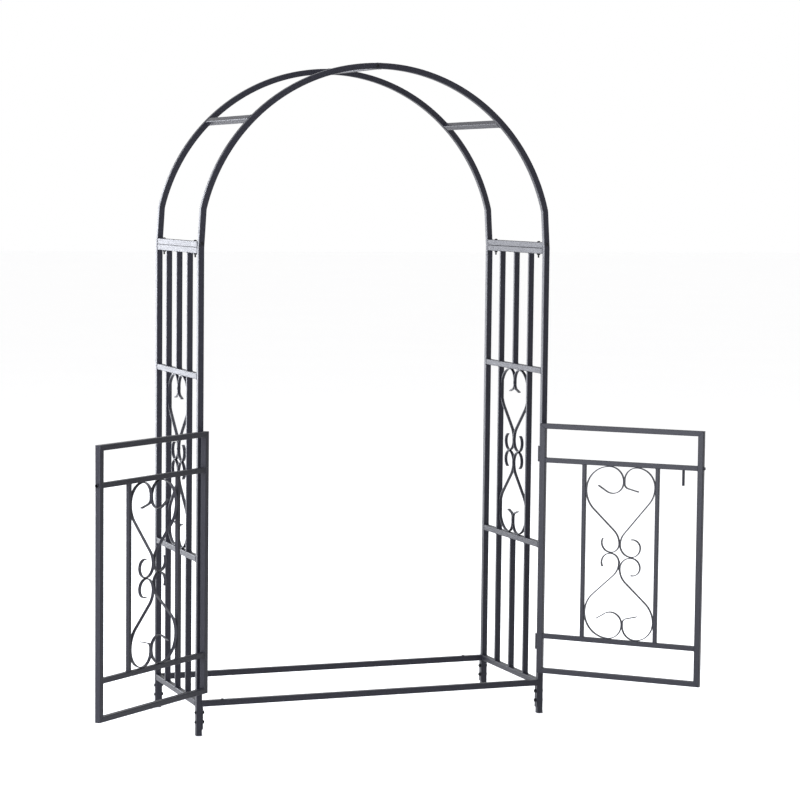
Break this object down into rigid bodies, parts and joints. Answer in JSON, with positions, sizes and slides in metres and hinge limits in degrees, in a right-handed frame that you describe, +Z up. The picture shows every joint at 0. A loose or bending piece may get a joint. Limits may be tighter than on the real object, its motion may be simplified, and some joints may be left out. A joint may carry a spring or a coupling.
{
  "type": "metal trellis arch",
  "caption": "Tall garden arch of square steel tube: trellis side panels with scrollwork, round hoop roof, and low double gates on pin hinges fastened by a sliding bolt.",
  "frame": {"origin": "on the ground at the middle of the whole footprint, both gates standing open", "axes": "+X to the right seen from the front, +Y to the back, +Z up; the gates open towards -Y"},
  "size_m": [1.9976, 0.9182, 2.136],
  "materials": {
    "charcoal_coat": "semi-gloss hammered powder coat",
    "black_fastener": "satin black",
    "plain_steel": "dull plated"
  },
  "bodies": {
    "frame": {"base_bar_stubs": "charcoal_coat", "crown_crossbar": "charcoal_coat", "crown_splices": "charcoal_coat", "foot_rail_bolts": "black_fastener", "foot_rail_nuts": "black_fastener", "front_base_bar": "charcoal_coat", "front_left_hoop": "charcoal_coat", "front_left_post": "charcoal_coat", "front_right_hoop": "charcoal_coat", "front_right_post": "charcoal_coat", "front_stakes": "charcoal_coat", "hinge_pins": "plain_steel", "joint_screws": "black_fastener", "left_arch_crossbar": "charcoal_coat", "left_cross_rails": "charcoal_coat", "left_foot_rail": "charcoal_coat", "left_lower_bars": "charcoal_coat", "left_middle_bars": "charcoal_coat", "left_panel_scrolls": "charcoal_coat", "left_upper_bars": "charcoal_coat", "post_knuckles": "charcoal_coat", "post_spigots": "charcoal_coat", "rear_base_bar": "charcoal_coat", "rear_left_hoop": "charcoal_coat", "rear_left_post": "charcoal_coat", "rear_right_hoop": "charcoal_coat", "rear_right_post": "charcoal_coat", "rear_stakes": "charcoal_coat", "right_arch_crossbar": "charcoal_coat", "right_cross_rails": "charcoal_coat", "right_foot_rail": "charcoal_coat", "right_lower_bars": "charcoal_coat", "right_middle_bars": "charcoal_coat", "right_panel_scrolls": "charcoal_coat", "right_upper_bars": "charcoal_coat", "stake_bolts": "black_fastener", "stake_nuts": "black_fastener"},
    "left_gate": {"left_gate_bottom_rail": "charcoal_coat", "left_gate_free_stile": "charcoal_coat", "left_gate_hinge_stile": "charcoal_coat", "left_gate_inner_bars": "charcoal_coat", "left_gate_knuckles": "charcoal_coat", "left_gate_latch_keeper": "charcoal_coat", "left_gate_lower_inner_rail": "charcoal_coat", "left_gate_scrolls": "charcoal_coat", "left_gate_top_rail": "charcoal_coat", "left_gate_upper_inner_rail": "charcoal_coat"},
    "right_gate": {"right_gate_bottom_rail": "charcoal_coat", "right_gate_free_stile": "charcoal_coat", "right_gate_hinge_stile": "charcoal_coat", "right_gate_inner_bars": "charcoal_coat", "right_gate_knuckles": "charcoal_coat", "right_gate_lower_inner_rail": "charcoal_coat", "right_gate_scrolls": "charcoal_coat", "right_gate_top_rail": "charcoal_coat", "right_gate_upper_inner_rail": "charcoal_coat"},
    "latch": {"right_gate_latch_bolt": "charcoal_coat", "right_gate_latch_handle": "charcoal_coat"}
  },
  "joints": [
    {"name": "left_gate_hinge", "type": "hinge", "parent": "frame", "child": "left_gate", "pos_m": [-0.55197, -0.04389, 0.56], "axis": [0, 0, -1], "range_deg": [-141.5, 18.5]},
    {"name": "right_gate_hinge", "type": "hinge", "parent": "frame", "child": "right_gate", "pos_m": [0.59703, -0.04389, 0.56], "axis": [0, 0, 1], "range_deg": [-135, 25]},
    {"name": "latch_slide", "type": "slide", "parent": "right_gate", "child": "latch", "axis": [0.7071, -0.7071, 0], "range_m": [0, 0.024]}
  ]
}
